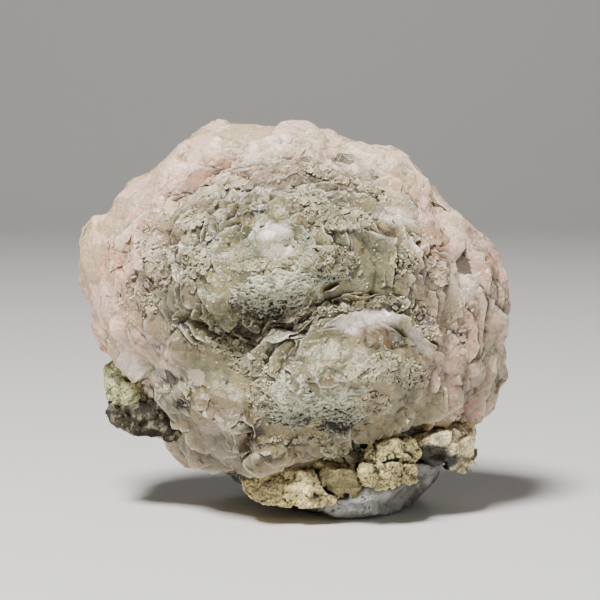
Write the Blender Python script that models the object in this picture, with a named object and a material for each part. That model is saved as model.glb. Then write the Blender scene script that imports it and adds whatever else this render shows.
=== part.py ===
"""Calcite with quartz: a domed cluster of disc-shaped calcite crystals, grown on a quartz base
with a few crusted crystals along its front foot. Metres, +Z up, the front faces -Y, and the
origin is on the flat foot that it rests on."""

import math
import random
from collections import namedtuple

import bmesh
import bpy
import numpy as np
from mathutils import Matrix, Vector, noise
from mathutils.bvhtree import BVHTree

MM = 0.001

# The dome of calcite, and the quartz under and behind it
DOME_CENTRE = Vector((0.0, -3.0, 46.4)) * MM
DOME_FRONT = 22.0 * MM
DOME_BACK = 15.0 * MM
DOME_FULLNESS = 2.25
DOME_POINTS = 520
DISC_STAND = 1.1 * MM
SOCKET_POINTS = 260
SOCKET_GAP = 0.9 * MM
BASE_CENTRE = Vector((1.0, 5.0, 34.5)) * MM
BASE_FRONT = 26.0 * MM
BASE_BACK = 24.0 * MM
BASE_FULLNESS = 2.8
BASE_POINTS = 480
BASE_ROUGHNESS = 0.7 * MM
BASE_GRAIN = 7.0 * MM
SEAT_GAP = 0.55 * MM
FULLY_FORWARD = 0.45
AHEAD_OF_ALL = -90.0 * MM

# Outlines seen from the front: degrees from +X towards +Z, and the reach in millimetres. The
# calcite's is taken over the edges of its discs, which stand proud of the dome by DISC_STAND
DOME_OUTLINE = (
    (0, 48.6), (10, 49.0), (20, 47.4), (32, 43.7), (40, 42.2), (54, 43.6), (64, 42.7), (72, 40.9),
    (84, 42.6), (96, 43.5), (104, 44.1), (114, 46.8), (134, 47.2), (148, 49.2), (160, 51.7),
    (169, 51.4), (178, 49.3), (186, 48.0), (193, 44.6), (202, 41.0), (214, 40.2), (226, 41.4),
    (240, 42.6), (250, 41.2), (260, 39.0), (270, 37.6), (282, 37.4), (294, 37.8), (304, 38.8),
    (316, 41.5), (326, 45.6), (336, 48.8), (346, 47.8), (354, 47.6),
)
BASE_OUTLINE = (
    (0, 38.0), (20, 39.0), (45, 36.0), (70, 36.0), (95, 37.5), (120, 39.0), (145, 39.0),
    (170, 38.5), (190, 36.0), (205, 32.5), (222, 31.0), (236, 32.5), (250, 35.5), (262, 37.0),
    (275, 39.0), (287, 41.0), (296, 42.5), (306, 43.0), (314, 42.8), (322, 42.0), (330, 41.5),
    (340, 39.0),
)

# A swell of a face: its middle and half size seen from the front, how far it comes forward, all
# in millimetres, its lean in degrees, how much steeper its lower side is, and the share of its
# half size over which it rises
Swell = namedtuple("Swell", "x z half_width half_height rise lean steeper soft")
DOME_SWELLS = {
    "ring": Swell(-2.0, 49.5, 33.0, 30.5, 4.6, 0.0, 1.0, 0.26),
    "upper_mound": Swell(-7.5, 57.5, 23.0, 15.0, 6.0, 12.0, 1.7, 0.42),
    "lower_mound": Swell(13.0, 30.0, 22.0, 17.0, 8.4, -6.0, 1.4, 0.42),
    "left_foot": Swell(-15.0, 21.5, 17.0, 11.5, 5.6, -32.0, 1.2, 0.5),
    "skirt": Swell(5.0, 14.5, 26.0, 9.5, 6.6, 0.0, 1.0, 0.5),
    "right_shoulder": Swell(25.0, 62.5, 13.0, 11.0, 3.0, -40.0, 1.2, 0.42),
    "right_flank": Swell(39.0, 41.0, 9.0, 18.0, 2.2, 0.0, 1.0, 0.42),
    "groove": Swell(-9.0, 44.5, 15.0, 3.4, -4.0, 8.0, 1.0, 0.6),
}
BASE_SWELLS = {
    "lip": Swell(12.0, 8.0, 27.0, 9.0, 4.5, 6.0, 1.0, 0.5),
    "belly": Swell(15.5, 1.5, 11.0, 8.0, 6.0, 0.0, 1.0, 0.5),
    "left_undercut": Swell(-16.0, 0.0, 19.0, 12.0, -12.0, 0.0, 1.0, 0.6),
}

# A row of crystal discs: the middle and half size of its arc seen from the front, its first and
# last angle, how many, their radius in millimetres and their lift in degrees
Row = namedtuple("Row", "x z half_width half_height first last count radius lift")
FACE_ROWS = {
    "brow": Row(0.0, 46.5, 40.0, 36.0, -24, 202, 14, 8.0, 11),
    "collar": Row(-1.0, 49.5, 31.5, 29.0, -8, 198, 12, 6.8, 16),
    "crown": Row(-6.5, 55.5, 19.5, 13.5, -6, 206, 8, 5.8, 19),
    "crown_middle": Row(-6.5, 55.0, 10.0, 6.5, 10, 330, 4, 4.8, 15),
    "shoulder": Row(22.0, 58.0, 9.0, 8.0, -30, 130, 3, 5.4, 16),
    "lower_crown": Row(13.0, 30.0, 19.5, 15.5, -44, 182, 9, 6.0, 18),
    "lower_middle": Row(13.0, 30.5, 10.5, 8.0, -60, 240, 5, 5.0, 15),
    "left_skirt": Row(-11.0, 28.0, 21.0, 16.5, 184, 250, 5, 6.8, 18),
    "lower_skirt": Row(6.0, 25.0, 20.0, 11.5, 222, 322, 6, 6.2, 13),
    "inner_left": Row(-14.0, 35.0, 13.0, 9.0, 120, 290, 5, 5.4, 20),
    "right_bands": Row(30.0, 42.0, 13.0, 21.0, -52, 58, 5, 6.4, 13),
}
# A row that runs round the dome: how far behind its widest line as a share of a right angle
RimRow = namedtuple("RimRow", "behind first last count radius lift")
RIM_ROWS = {
    "crest": RimRow(-0.14, -30, 208, 17, 6.4, 7),
    "nape": RimRow(0.22, -22, 200, 13, 6.4, 4),
    "back": RimRow(0.60, 28, 152, 5, 7.6, 5),
}
# Each disc: its underside is a little smaller and lower than its rim, its middle a little higher
DISC_SIDES = 7
DISC_DROP = 1.05 * MM
DISC_CROWN = 0.45 * MM
DISC_UNDERSIDE = 0.88
DISC_RAGGED = (0.80, 1.08)
DISC_SPREAD = (0.82, 1.15)
DISC_SINK = 0.35
# Shares of the row's own lift, spacing, half size and place behind by which its discs differ
DISC_LIFTS = (0.7, 1.3)
DISC_STRAY_ALONG = (0.3, 0.7)
DISC_STRAY_OUT = (0.94, 1.05)
DISC_STRAY_BEHIND = (-0.06, 0.06)
# How far the lifted edge of a disc on the rim turns to the front
RIM_FORWARD = 0.2

# Crusted crystals: hulls of their corners, x, y and z in millimetres. Each gives way to those
# before it
CRUSTED = {
    "crusted_block_front": [
        (
            (4.2, -24, 10), (5.4, -27.5, 13.4), (12.6, -29, 13), (14.8, -27.5, 10),
            (12.6, -27.5, 7.2), (6.4, -26.5, 7.6), (4.4, -15, 14), (13.6, -15, 14.4),
            (14.4, -15, 7.6), (4.6, -15, 8),
        ),
    ],
    "crusted_crystal_left": [
        (
            (-44.8, -7, 25.4), (-45, -5, 32.6), (-41, -9, 35.4), (-34, -10, 35.6), (-30, -8, 29.6),
            (-34, -11, 25), (-40, -12, 24), (-44.4, 6, 25.6), (-44.6, 7, 32.6), (-36, 8, 36.6),
            (-30, 7, 32.6), (-31, 7, 24.6), (-40, 7, 23.6),
        ),
    ],
    "crusted_ledge_front": [
        (
            (-13, -19, 11.8), (-12.6, -24.5, 7), (-8, -27, 4.6), (2, -28.5, 4.2), (8.6, -27, 4.8),
            (9.6, -25, 7.4), (5, -26, 12.2), (-6, -24.5, 13), (-12, -10, 11.4), (-10, -10, 5),
            (9, -12, 4.8), (9, -13, 11),
        ),
    ],
    "crusted_lump_right": [
        (
            (15, -26.5, 15.4), (16.4, -29.5, 18.6), (21.4, -30, 20.2), (26.4, -27, 19.4),
            (27.6, -24, 16), (24, -27, 13.4), (17.4, -30, 13.2), (15.6, -15, 15.2),
            (26, -14, 15.2), (21.4, -15, 20.2),
        ),
        (
            (13.2, -27.5, 11), (14.6, -30.5, 14), (20.4, -31.5, 15.4), (25.6, -29, 14.2),
            (27, -26, 11.6), (21.4, -27.5, 8.6), (15.6, -28, 8.8), (13.6, -15, 13.4),
            (25.6, -15, 13.4), (19.4, -15, 8.8),
        ),
    ],
    "crusted_wedge_right": [
        (
            (25.4, -21, 15.6), (26.8, -23.5, 18.6), (33, -22.5, 21), (40.4, -17, 19.8),
            (40.4, -16, 15.2), (36.4, -19.5, 14), (30.4, -22, 12.6), (26.4, -6, 18.4),
            (33.2, -4, 21.8), (40.4, -4, 19.6), (39, -4, 13.4), (28, -6, 11.4),
        ),
        (
            (35, -19.5, 17.4), (40.8, -16.4, 19.4), (41, -15, 13.6), (37.6, -17, 10.6),
            (33.4, -19.6, 11.4), (40.8, -4, 19.2), (40.4, -4, 13.4), (36.4, -4, 10.6),
            (34, -4, 17.2),
        ),
    ],
}
MATRIX_CORNERS = (
    (-44, -7, 23.6), (-43.5, -9, 21), (-38, -12, 18), (-30, -14, 16.8), (-25.5, -13, 18.4),
    (-24, -11, 25.4), (-30, -15, 27.4), (-38, -12, 26), (-42.5, 7, 25.4), (-42, 7, 21),
    (-30, 11, 16.8), (-24, 11, 18.4), (-24, 9, 29.4), (-34, 9, 29.4),
)
EDGE_WEAR = 0.4
CRUST_THICKNESS = 0.33 * MM
CRUST_ROUGHNESS = 0.55 * MM
CRUST_GRAIN = 2.6 * MM

# Faces that meet at less than this many degrees are joined, the widest angle that works
FLAT_WITHIN = (2.6, 2.3, 2.0, 1.7, 1.4, 1.1, 0.8, 0.5, 0.2)

# Flat fracture faces of the quartz: the way each faces, and its distance from the quartz's
# centre in millimetres
FRACTURES = (
    ((0.10, 1.0, 0.10), 17.5), ((-0.62, 0.95, 0.20), 22.0), ((0.72, 0.90, -0.12), 24.0),
    ((0.05, 0.95, -0.62), 22.5), ((-0.25, 0.80, 0.80), 25.0), ((-0.90, 0.35, -0.50), 32.0),
    ((0.90, 0.50, -0.35), 34.5), ((0.55, 0.75, 0.70), 26.0), ((-0.75, 0.70, -0.45), 25.5),
)
FOOT_FACING = Vector((0.0, 0.0, -1.0))

COLOURS = {
    "calcite": ((0.66, 0.56, 0.48), 0.45),
    "quartz": ((0.52, 0.53, 0.53), 0.22),
    "crust": ((0.60, 0.50, 0.27), 0.85),
    "matrix": ((0.16, 0.14, 0.09), 0.75),
}


def smooth_step(value, low, high):
    """0 below low, 1 above high and a smooth rise between them."""
    share = np.clip((value - low) / (high - low), 0.0, 1.0)
    return share * share * (3 - 2 * share)


def swell_at(swells, x, z):
    """How far a face comes forward at a place seen from the front."""
    forward = 0.0
    for swell in swells.values():
        turn = math.radians(swell.lean)
        dx, dz = x / MM - swell.x, z / MM - swell.z
        across = (dx * math.cos(turn) + dz * math.sin(turn)) / swell.half_width
        up = (dz * math.cos(turn) - dx * math.sin(turn)) / swell.half_height
        up *= swell.steeper if up < 0 else 1.0
        forward += swell.rise * MM * smooth_step(1.0 - math.hypot(across, up), 0.0, swell.soft)
    return forward


def rounded_point(direction, centre, outline, inset, front, back, fullness):
    """The point of a rounded block in that direction. The outline bounds it from the front."""
    angles, reaches = zip(*outline)
    angle = math.degrees(math.atan2(direction.z, direction.x)) % 360
    reach = np.interp(angle, angles, reaches, period=360) * MM - inset
    across = math.hypot(direction.x, direction.z)
    scale = (across**fullness + abs(direction.y) ** fullness) ** (-1 / fullness)
    depth = front if direction.y < 0 else back
    return centre + Vector((reach * direction.x, depth * direction.y, reach * direction.z)) * scale


def forward_share(direction):
    """How far the swells of the front count in that direction: 0 from the outline backwards."""
    return smooth_step(-direction.y, 0.0, FULLY_FORWARD)


def dome_point(direction):
    """A point of the calcite's face or back, swells included."""
    point = rounded_point(
        direction, DOME_CENTRE, DOME_OUTLINE, DISC_STAND, DOME_FRONT, DOME_BACK, DOME_FULLNESS
    )
    point.y -= forward_share(direction) * swell_at(DOME_SWELLS, point.x, point.z)
    return point


def base_point(direction):
    """A point of the quartz before it is broken flat at the back."""
    point = rounded_point(
        direction, BASE_CENTRE, BASE_OUTLINE, 0.0, BASE_FRONT, BASE_BACK, BASE_FULLNESS
    )
    point.y -= forward_share(direction) * swell_at(BASE_SWELLS, point.x, point.z)
    return point + direction * BASE_ROUGHNESS * noise.noise(point / BASE_GRAIN)


def closed_ball(count, place):
    """A closed mesh of evenly spread points, each moved where place sends its direction."""
    ball = bmesh.new()
    golden = math.pi * (3 - math.sqrt(5))
    for index in range(count):
        y = 1 - 2 * (index + 0.5) / count
        across = math.sqrt(1 - y * y)
        turn = golden * index
        ball.verts.new((across * math.cos(turn), y, across * math.sin(turn)))
    bmesh.ops.convex_hull(ball, input=ball.verts)
    for vert in ball.verts:
        vert.co = place(vert.co.normalized())
    bmesh.ops.recalc_face_normals(ball, faces=ball.faces)
    return ball


def break_flat(shape, point, facing):
    """Breaks the shape off flat at a plane, on the side that it faces."""
    geometry = shape.verts[:] + shape.edges[:] + shape.faces[:]
    cut = bmesh.ops.bisect_plane(
        shape, geom=geometry, plane_co=point, plane_no=facing, clear_outer=True
    )
    rim = [item for item in cut["geom_cut"] if isinstance(item, bmesh.types.BMEdge)]
    bmesh.ops.edgeloop_fill(shape, edges=rim)
    bmesh.ops.recalc_face_normals(shape, faces=shape.faces)


def quartz_block():
    """The quartz with its flat fracture faces and the flat foot."""
    block = closed_ball(BASE_POINTS, base_point)
    for facing, distance in FRACTURES:
        outward = Vector(facing).normalized()
        break_flat(block, BASE_CENTRE + outward * distance * MM, outward)
    break_flat(block, Vector((0, 0, 0)), FOOT_FACING)
    bmesh.ops.triangulate(block, faces=block.faces)
    return block


def crystal_disc(radius, chance):
    """A thick irregular disc in the XY plane, like a shallow saucer turned over."""
    disc = bmesh.new()
    sweep = chance.uniform(0, math.tau)
    reaches = [radius * chance.uniform(*DISC_RAGGED) for _ in range(DISC_SIDES)]
    rings = []
    for share, height in ((DISC_UNDERSIDE, -DISC_DROP), (1.0, 0.0)):
        ring = []
        for side, reach in enumerate(reaches):
            turn = sweep + math.tau * side / DISC_SIDES
            across = share * reach
            ring.append(disc.verts.new((across * math.cos(turn), across * math.sin(turn), height)))
        rings.append(ring)
    lower, rim = rings
    crown = disc.verts.new((0, 0, DISC_CROWN))
    disc.faces.new(tuple(reversed(lower)))
    for side in range(DISC_SIDES):
        after = (side + 1) % DISC_SIDES
        disc.faces.new((lower[side], lower[after], rim[after], rim[side]))
        disc.faces.new((rim[side], rim[after], crown))
    bmesh.ops.triangulate(disc, faces=disc.faces)
    return disc


def crystal_lump(corners):
    """A blunt block under a crust: the hull of its corners, with worn edges and roughness."""
    lump = bmesh.new()
    for corner in corners:
        lump.verts.new(Vector(corner) * MM)
    hull = bmesh.ops.convex_hull(lump, input=lump.verts)
    loose = [item for item in hull["geom_interior"] if isinstance(item, bmesh.types.BMVert)]
    bmesh.ops.delete(lump, geom=loose, context="VERTS")
    bmesh.ops.subdivide_edges(lump, edges=lump.edges[:], cuts=1, use_grid_fill=True)
    bmesh.ops.triangulate(lump, faces=lump.faces)
    bmesh.ops.smooth_vert(
        lump, verts=lump.verts, factor=EDGE_WEAR, use_axis_x=True, use_axis_y=True, use_axis_z=True
    )
    bmesh.ops.recalc_face_normals(lump, faces=lump.faces)
    lump.normal_update()
    for vert in lump.verts:
        rough = CRUST_ROUGHNESS * noise.noise(vert.co / CRUST_GRAIN)
        vert.co += vert.normal * (CRUST_THICKNESS + rough)
    return lump


def inflated(source, gap):
    """A copy with every point moved out along its normal."""
    grown = source.copy()
    grown.normal_update()
    moves = [vert.normal * gap for vert in grown.verts]
    for vert, move in zip(grown.verts, moves):
        vert.co += move
    return grown


def new_object(name, source):
    """An object with the mesh of source, which is freed."""
    mesh = bpy.data.meshes.new(name)
    source.to_mesh(mesh)
    source.free()
    made = bpy.data.objects.new(name, mesh)
    bpy.context.scene.collection.objects.link(made)
    return made


def helper_group(name, sources):
    """A collection of helper solids for one Boolean."""
    group = bpy.data.collections.new(name)
    bpy.context.scene.collection.children.link(group)
    for index, source in enumerate(sources):
        mesh = bpy.data.meshes.new(f"{name}_{index}")
        source.to_mesh(mesh)
        source.free()
        solid = bpy.data.objects.new(mesh.name, mesh)
        solid.hide_render = True
        solid.display_type = "WIRE"
        group.objects.link(solid)
    return group


def combine(target, operation, group, solver="EXACT"):
    """Joins or cuts target with every solid of the group, and keeps its largest body."""
    step = target.modifiers.new(operation, "BOOLEAN")
    step.operation = operation
    step.operand_type = "COLLECTION"
    step.collection = group
    step.solver = solver
    graph = bpy.context.evaluated_depsgraph_get()
    result = bpy.data.meshes.new_from_object(target.evaluated_get(graph))
    target.modifiers.remove(step)
    shape = bmesh.new()
    shape.from_mesh(result)
    keep_largest_body(shape)
    shape.to_mesh(target.data)
    shape.free()
    bpy.data.meshes.remove(result)


def flatten(target):
    """Joins faces that lie nearly flat together, as far as the shape stays closed."""
    for angle in FLAT_WITHIN:
        shape = bmesh.new()
        shape.from_mesh(target.data)
        bmesh.ops.dissolve_limit(
            shape, angle_limit=math.radians(angle), verts=shape.verts, edges=shape.edges
        )
        bmesh.ops.triangulate(shape, faces=shape.faces)
        closed = all(edge.is_manifold for edge in shape.edges)
        if closed:
            shape.to_mesh(target.data)
        shape.free()
        if closed:
            return


def keep_largest_body(shape):
    """Deletes every separate body but the one with the most points."""
    waiting = set(shape.verts)
    bodies = []
    while waiting:
        body = {waiting.pop()}
        edge_of_body = list(body)
        while edge_of_body:
            vert = edge_of_body.pop()
            for edge in vert.link_edges:
                other = edge.other_vert(vert)
                if other in waiting:
                    waiting.discard(other)
                    body.add(other)
                    edge_of_body.append(other)
        bodies.append(body)
    bodies.sort(key=len)
    spare = [vert for body in bodies[:-1] for vert in body]
    bmesh.ops.delete(shape, geom=spare, context="VERTS")


def clear_helpers():
    """Removes every helper solid and its collection."""
    for group in list(bpy.data.collections):
        for solid in list(group.objects):
            bpy.data.objects.remove(solid)
        bpy.data.collections.remove(group)


def face_place(surface, x, z):
    """The point and normal of the face straight behind a place seen from the front."""
    start = Vector((x * MM, AHEAD_OF_ALL, z * MM))
    point, normal, _, _ = surface.ray_cast(start, Vector((0, 1, 0)))
    if point is None:
        point, normal, _, _ = surface.find_nearest(Vector((x * MM, DOME_CENTRE.y, z * MM)))
    return point, normal


def seated_disc(point, normal, outward, radius, lift, chance):
    """A disc lying on the surface with the edge on its outward side lifted free."""
    tangent = (outward - normal * outward.dot(normal)).normalized()
    turn = math.radians(lift * chance.uniform(*DISC_LIFTS))
    facing = normal * math.cos(turn) - tangent * math.sin(turn)
    along = tangent * math.cos(turn) + normal * math.sin(turn)
    size = radius * chance.uniform(*DISC_SPREAD) * MM
    seat = point + normal * DISC_SINK * size * math.sin(turn)
    disc = crystal_disc(size, chance)
    axes = Matrix((along, facing.cross(along), facing)).transposed().to_4x4()
    disc.transform(Matrix.Translation(seat) @ axes)
    return disc


def disc_cluster(surface):
    """Every disc of every row, as separate solids."""
    chance = random.Random(7)
    discs = []
    for row in FACE_ROWS.values():
        for index in range(row.count):
            share = (index + chance.uniform(*DISC_STRAY_ALONG)) / row.count
            turn = math.radians(row.first + (row.last - row.first) * share)
            reach = chance.uniform(*DISC_STRAY_OUT)
            x = row.x + row.half_width * reach * math.cos(turn)
            z = row.z + row.half_height * reach * math.sin(turn)
            point, normal = face_place(surface, x, z)
            outward = point - Vector((row.x * MM, point.y, row.z * MM))
            discs.append(seated_disc(point, normal, outward, row.radius, row.lift, chance))
    for row in RIM_ROWS.values():
        for index in range(row.count):
            share = (index + chance.uniform(*DISC_STRAY_ALONG)) / row.count
            turn = math.radians(row.first + (row.last - row.first) * share)
            tilt = math.radians(90 * (row.behind + chance.uniform(*DISC_STRAY_BEHIND)))
            across = math.cos(tilt)
            direction = Vector((across * math.cos(turn), math.sin(tilt), across * math.sin(turn)))
            point, normal, _, _ = surface.find_nearest(dome_point(direction))
            outward = Vector((math.cos(turn), -RIM_FORWARD, math.sin(turn)))
            discs.append(seated_disc(point, normal, outward, row.radius, row.lift, chance))
    return discs


def paint(target, finish):
    """Gives the object its plain colour and gloss."""
    colour, roughness = COLOURS[finish]
    material = bpy.data.materials.get(finish) or bpy.data.materials.new(finish)
    material.use_nodes = True
    shader = material.node_tree.nodes["Principled BSDF"]
    shader.inputs["Base Color"].default_value = (*colour, 1)
    shader.inputs["Roughness"].default_value = roughness
    shader.inputs["Metallic"].default_value = 0.0
    target.data.materials.clear()
    target.data.materials.append(material)


def main():
    for thing in list(bpy.data.objects):
        bpy.data.objects.remove(thing)

    core = closed_ball(DOME_POINTS, dome_point)
    surface = BVHTree.FromBMesh(core)
    socket = inflated(closed_ball(SOCKET_POINTS, dome_point), SOCKET_GAP)
    discs = disc_cluster(surface)
    disc_seats = [inflated(disc, SEAT_GAP) for disc in discs]
    lumps = {name: [crystal_lump(block) for block in blocks] for name, blocks in CRUSTED.items()}
    matrix_lump = crystal_lump(MATRIX_CORNERS)
    crust_seats = [inflated(lump, SEAT_GAP) for group in lumps.values() for lump in group]
    matrix_seat = inflated(matrix_lump, SEAT_GAP)

    disc_group = helper_group("discs", discs)
    calcite_seats = helper_group("calcite_seats", [socket, *disc_seats])
    crust_group = helper_group("crust_seats", crust_seats)
    matrix_group = helper_group("matrix_seat", [matrix_seat])

    calcite = new_object("calcite_cluster", core)
    combine(calcite, "UNION", disc_group)
    combine(calcite, "DIFFERENCE", crust_group)
    paint(calcite, "calcite")

    # The exact solver leaves edges with four faces in this one
    quartz = new_object("quartz_base", quartz_block())
    for group in (calcite_seats, crust_group, matrix_group):
        combine(quartz, "DIFFERENCE", group, solver="MANIFOLD")
    paint(quartz, "quartz")

    matrix = new_object("matrix_rock_left", matrix_lump)
    for group in (calcite_seats, crust_group):
        combine(matrix, "DIFFERENCE", group)
    paint(matrix, "matrix")

    earlier = []
    for name, group in lumps.items():
        seats = [inflated(lump, SEAT_GAP) for lump in group]
        crusted = new_object(name, group[0])
        if len(group) > 1:
            combine(crusted, "UNION", helper_group(f"{name}_rest", group[1:]))
        for neighbour in earlier:
            combine(crusted, "DIFFERENCE", neighbour)
        earlier.append(helper_group(f"{name}_seat", seats))
        paint(crusted, "crust")
    clear_helpers()
    for piece in bpy.data.objects:
        flatten(piece)


main()
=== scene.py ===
"""The looks of a calcite cluster on quartz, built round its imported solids. Metres, +Z up, the
front faces -Y, and the specimen rests on the floor at the origin."""

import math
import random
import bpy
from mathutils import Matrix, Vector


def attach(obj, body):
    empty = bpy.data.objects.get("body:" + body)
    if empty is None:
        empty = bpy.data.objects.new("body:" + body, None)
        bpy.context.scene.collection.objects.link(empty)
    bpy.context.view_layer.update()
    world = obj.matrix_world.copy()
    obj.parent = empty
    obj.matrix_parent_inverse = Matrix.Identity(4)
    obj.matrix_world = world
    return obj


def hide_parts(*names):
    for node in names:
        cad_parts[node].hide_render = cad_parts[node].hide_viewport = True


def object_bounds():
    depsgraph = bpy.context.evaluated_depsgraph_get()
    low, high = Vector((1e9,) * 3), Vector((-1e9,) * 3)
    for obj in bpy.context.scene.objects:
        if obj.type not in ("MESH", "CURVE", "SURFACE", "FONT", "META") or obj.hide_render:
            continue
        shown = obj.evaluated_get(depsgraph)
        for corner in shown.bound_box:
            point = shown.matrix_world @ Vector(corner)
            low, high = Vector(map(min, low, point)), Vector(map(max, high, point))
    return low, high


bl_info = {
    "name": "Calcite with quartz",
    "version": (1, 0, 0),
    "blender": (4, 5, 0),
    "location": "3D View > Sidebar > Specimen",
    "description": "Builds the looks of a calcite cluster on quartz round its packed solids",
    "category": "Add Mesh",
}

from collections import namedtuple
from functools import partial

import bpy
import numpy as np
from bpy.props import FloatProperty, FloatVectorProperty, IntProperty, PointerProperty
from mathutils import Matrix, Vector, noise
from mathutils.bvhtree import BVHTree

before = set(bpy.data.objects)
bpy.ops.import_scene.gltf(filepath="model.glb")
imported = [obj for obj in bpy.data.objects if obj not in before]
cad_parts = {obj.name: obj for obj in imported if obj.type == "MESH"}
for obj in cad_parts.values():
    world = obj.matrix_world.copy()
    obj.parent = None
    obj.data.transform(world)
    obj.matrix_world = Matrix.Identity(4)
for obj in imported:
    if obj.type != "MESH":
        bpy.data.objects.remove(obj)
CAD_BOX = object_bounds()

MM = 0.001
# How far a finished piece stays inside the solids' box
BOX_MARGIN = 0.02 * MM

# The camera stands where the photograph was taken from. A picture is 600 pixels across
PICTURE = 600
VIEW_TARGET = Vector((0.5, -8.0, 49.2)) * MM
VIEW_DISTANCE = 500.0 * MM
VIEW_ELEVATION = math.radians(6.0)
VIEW_WIDTH = 138.6 * MM
SENSOR_WIDTH = 36.0

# The middle of the dome of calcite
DOME_CENTRE = Vector((0.0, -3.0, 46.4)) * MM


def rows_of(kind, *rows):
    """The rows of a table, each as that kind of named tuple."""
    return [kind(*row) for row in rows]


# An area of the front: its middle and half size in pixels, its lean in degrees, its strength
Area = namedtuple("Area", "px py half_width half_height lean strength")
# Where the calcite is grey-beige and not pink
GREY_AREAS = rows_of(
    Area,
    (290, 302, 142, 130, 0, 1.0), (350, 400, 96, 74, 0, 0.9), (225, 420, 76, 56, -35, 1.0),
    (470, 340, 30, 60, 0, 0.25),
)
# Where the crests are lilac white, partly a painted highlight on their lit tops
LILAC_AND_HIGHLIGHT_AREAS = rows_of(
    Area,
    (276, 232, 17, 9, 6, 0.55), (276, 251, 16, 9, 0, 0.5), (366, 322, 34, 13, 6, 1.0),
    (419, 341, 19, 8, -52, 0.6), (396, 216, 25, 9, -12, 0.7), (132, 366, 17, 11, -30, 0.8),
    (360, 166, 13, 9, 0, 0.5), (228, 436, 34, 24, -40, 0.35), (168, 382, 16, 18, 0, 0.4),
    (463, 282, 14, 22, 0, 0.55),
)
SALMON_AREAS = rows_of(
    Area,
    (206, 174, 34, 12, 14, 1.0), (143, 227, 15, 20, 0, 1.0), (119, 266, 20, 22, 0, 1.0),
    (172, 200, 14, 12, 30, 0.8), (296, 170, 10, 5, 0, 0.7), (431, 247, 17, 15, 0, 1.0),
    (486, 266, 14, 13, -20, 0.9), (472, 330, 16, 28, 0, 0.8), (455, 380, 16, 22, 0, 0.6),
    (132, 318, 24, 22, 0, 0.5), (240, 430, 22, 12, -25, 0.55), (396, 187, 22, 13, -25, 0.5),
    (470, 405, 22, 10, 0, 0.7),
)
TAN_AREAS = rows_of(
    Area,
    (378, 336, 18, 11, -10, 1.0), (330, 380, 9, 5, -14, 1.0), (290, 322, 34, 7, 6, 0.7),
    (205, 330, 30, 8, -20, 0.35), (470, 392, 10, 6, 0, 0.6), (222, 432, 54, 36, -35, 0.5),
)
# Where the calcite is painted dark: painted shade under the mounds and in the groove between them, and
# small dark specks
SOOT_AND_SHADE_AREAS = rows_of(
    Area,
    (266, 307, 40, 12, 4, 1.0), (290, 324, 34, 7, 6, 0.5), (338, 421, 28, 14, 4, 1.0),
    (304, 420, 18, 7, 0, 0.9), (255, 212, 22, 4, 16, 0.7), (374, 450, 30, 6, 0, 0.8),
    (182, 404, 8, 6, 20, 1.0), (416, 354, 18, 7, -45, 0.4), (320, 270, 4, 5, 0, 1.0),
    (308, 380, 3, 4, 0, 1.0), (310, 392, 3, 3, 0, 1.0), (267, 406, 5, 3, 0, 1.0),
    (228, 382, 3, 3, 0, 1.0),
)
# Where small grains lie, and how many lie there
GrainArea = namedtuple("GrainArea", "px py half_width half_height lean count")
GRAIN_AREAS = rows_of(
    GrainArea,
    (231, 182, 22, 6, -8, 260), (192, 219, 16, 9, 20, 240), (146, 243, 9, 20, 20, 170),
    (160, 268, 12, 22, 0, 200), (150, 300, 10, 18, 0, 70), (120, 245, 20, 30, 0, 30),
    (327, 174, 26, 7, -18, 200), (310, 200, 22, 5, -10, 120), (372, 190, 22, 5, -25, 90),
    (438, 270, 9, 16, 20, 260), (338, 218, 36, 11, -8, 420), (404, 262, 14, 12, 0, 70),
    (260, 265, 32, 5, 6, 190), (330, 260, 30, 15, 0, 380), (196, 262, 14, 16, 0, 130),
    (398, 370, 32, 14, -20, 520), (365, 374, 18, 9, 0, 200), (372, 404, 22, 12, 0, 180),
    (250, 366, 20, 10, -20, 150), (262, 396, 12, 18, 0, 170), (350, 306, 52, 4, 8, 120),
    (225, 345, 20, 9, -20, 80), (424, 320, 12, 22, 30, 70), (462, 322, 16, 34, 0, 30),
    (160, 392, 14, 8, 0, 30), (140, 300, 22, 26, 0, 60), (300, 438, 34, 6, 0, 50),
    (290, 300, 130, 120, 0, 260), (336, 452, 14, 8, 0, 90), (425, 447, 8, 6, 0, 60),
    (458, 424, 9, 10, 0, 90),
)
# Where fine mineral powder lies in ripples
POWDER_AREAS = rows_of(
    Area,
    (278, 291, 44, 24, 12, 1.0), (325, 266, 30, 18, 0, 0.75), (286, 402, 32, 26, 0, 1.0),
    (347, 404, 28, 24, 4, 1.0), (336, 218, 30, 10, -8, 0.7),
)

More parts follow.
